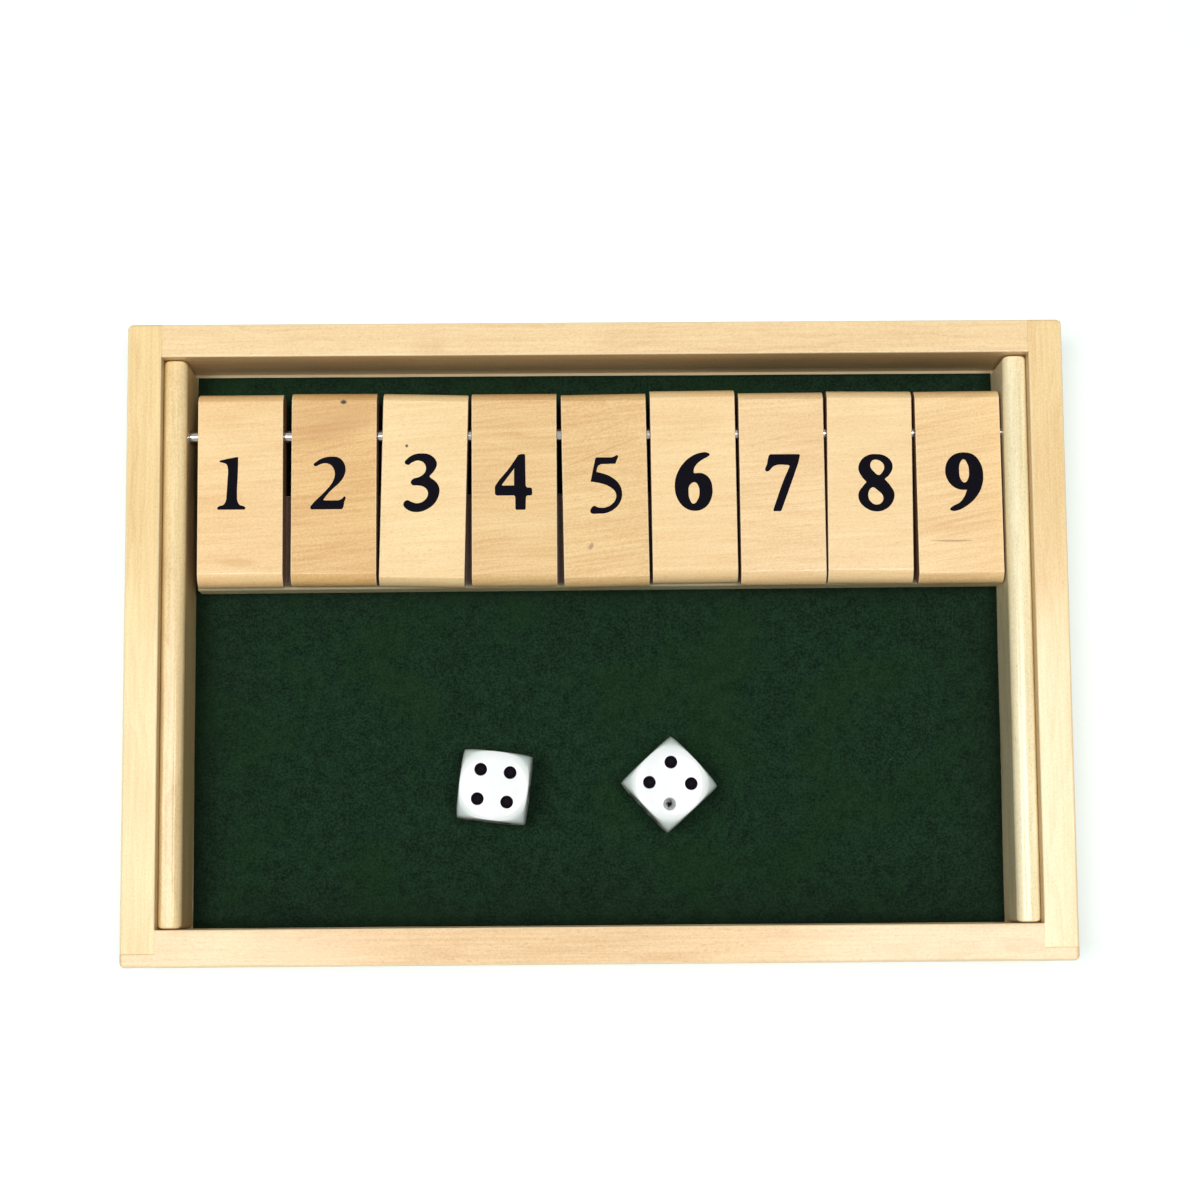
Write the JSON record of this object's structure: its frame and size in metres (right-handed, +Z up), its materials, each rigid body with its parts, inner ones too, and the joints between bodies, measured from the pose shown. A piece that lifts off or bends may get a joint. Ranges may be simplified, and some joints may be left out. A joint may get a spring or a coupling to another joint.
{
  "type": "shut the box game",
  "caption": "Shallow open wooden dice tray with a felt floor, a row of number tiles that hinge on a steel rod along the back, and loose dice.",
  "frame": {"origin": "centre of the underside of the frame, on the surface that the box stands on", "axes": "+X along the tile row towards the highest number, +Y from the player's side to the tile row, +Z up"},
  "size_m": [0.2144, 0.1462, 0.024],
  "materials": {
    "rail_wood": "pale basswood, sanded smooth, thin clear satin finish",
    "tile_wood": "pale basswood, sanded, satin, tone differs a little from tile to tile",
    "plywood": "thin plywood, bare, fine sanded",
    "green_felt": "dark green felt, matt and finely fibrous",
    "bright_steel": "bright drawn steel rod",
    "die_plastic": "white plastic, tumbled smooth, glossy",
    "number_ink": "blue-black printed ink, satin",
    "pip_paint": "black paint in the pips, satin"
  },
  "bodies": {
    "box": {"front_rail": "rail_wood", "back_rail": "rail_wood", "left_rail": "rail_wood", "right_rail": "rail_wood", "base_panel": "plywood", "felt_lining": "green_felt", "left_cheek": "rail_wood", "right_cheek": "rail_wood", "pivot_rod": "bright_steel", "tile_rest": "rail_wood"},
    "tile_1": {"tile_1": "tile_wood"},
    "tile_2": {"tile_2": "tile_wood"},
    "tile_3": {"tile_3": "tile_wood"},
    "tile_4": {"tile_4": "tile_wood"},
    "tile_5": {"tile_5": "tile_wood"},
    "tile_6": {"tile_6": "tile_wood"},
    "tile_7": {"tile_7": "tile_wood"},
    "tile_8": {"tile_8": "tile_wood"},
    "tile_9": {"tile_9": "tile_wood"},
    "die_left": {"die_left": "die_plastic"},
    "die_right": {"die_right": "die_plastic"}
  },
  "joints": [
    {"name": "tile_1_hinge", "type": "hinge", "parent": "box", "child": "tile_1", "pos_m": [0, 0.0484, 0.0149], "axis": [-1, 0, 0], "range_deg": [0, 141.8]},
    {"name": "tile_2_hinge", "type": "hinge", "parent": "box", "child": "tile_2", "pos_m": [0, 0.0484, 0.0149], "axis": [-1, 0, 0], "range_deg": [0, 141.8]},
    {"name": "tile_3_hinge", "type": "hinge", "parent": "box", "child": "tile_3", "pos_m": [0, 0.0484, 0.0149], "axis": [-1, 0, 0], "range_deg": [0, 141.8]},
    {"name": "tile_4_hinge", "type": "hinge", "parent": "box", "child": "tile_4", "pos_m": [0, 0.0484, 0.0149], "axis": [-1, 0, 0], "range_deg": [0, 141.8]},
    {"name": "tile_5_hinge", "type": "hinge", "parent": "box", "child": "tile_5", "pos_m": [0, 0.0484, 0.0149], "axis": [-1, 0, 0], "range_deg": [0, 141.8]},
    {"name": "tile_6_hinge", "type": "hinge", "parent": "box", "child": "tile_6", "pos_m": [0, 0.0484, 0.0149], "axis": [-1, 0, 0], "range_deg": [0, 141.8]},
    {"name": "tile_7_hinge", "type": "hinge", "parent": "box", "child": "tile_7", "pos_m": [0, 0.0484, 0.0149], "axis": [-1, 0, 0], "range_deg": [0, 141.8]},
    {"name": "tile_8_hinge", "type": "hinge", "parent": "box", "child": "tile_8", "pos_m": [0, 0.0484, 0.0149], "axis": [-1, 0, 0], "range_deg": [0, 141.8]},
    {"name": "tile_9_hinge", "type": "hinge", "parent": "box", "child": "tile_9", "pos_m": [0, 0.0484, 0.0149], "axis": [-1, 0, 0], "range_deg": [0, 141.8]},
    {"name": "die_left_lift", "type": "slide", "parent": "box", "child": "die_left", "axis": [0, 0, 1], "range_m": [0, 0.04]},
    {"name": "die_right_lift", "type": "slide", "parent": "box", "child": "die_right", "axis": [0, 0, 1], "range_m": [0, 0.04]}
  ]
}
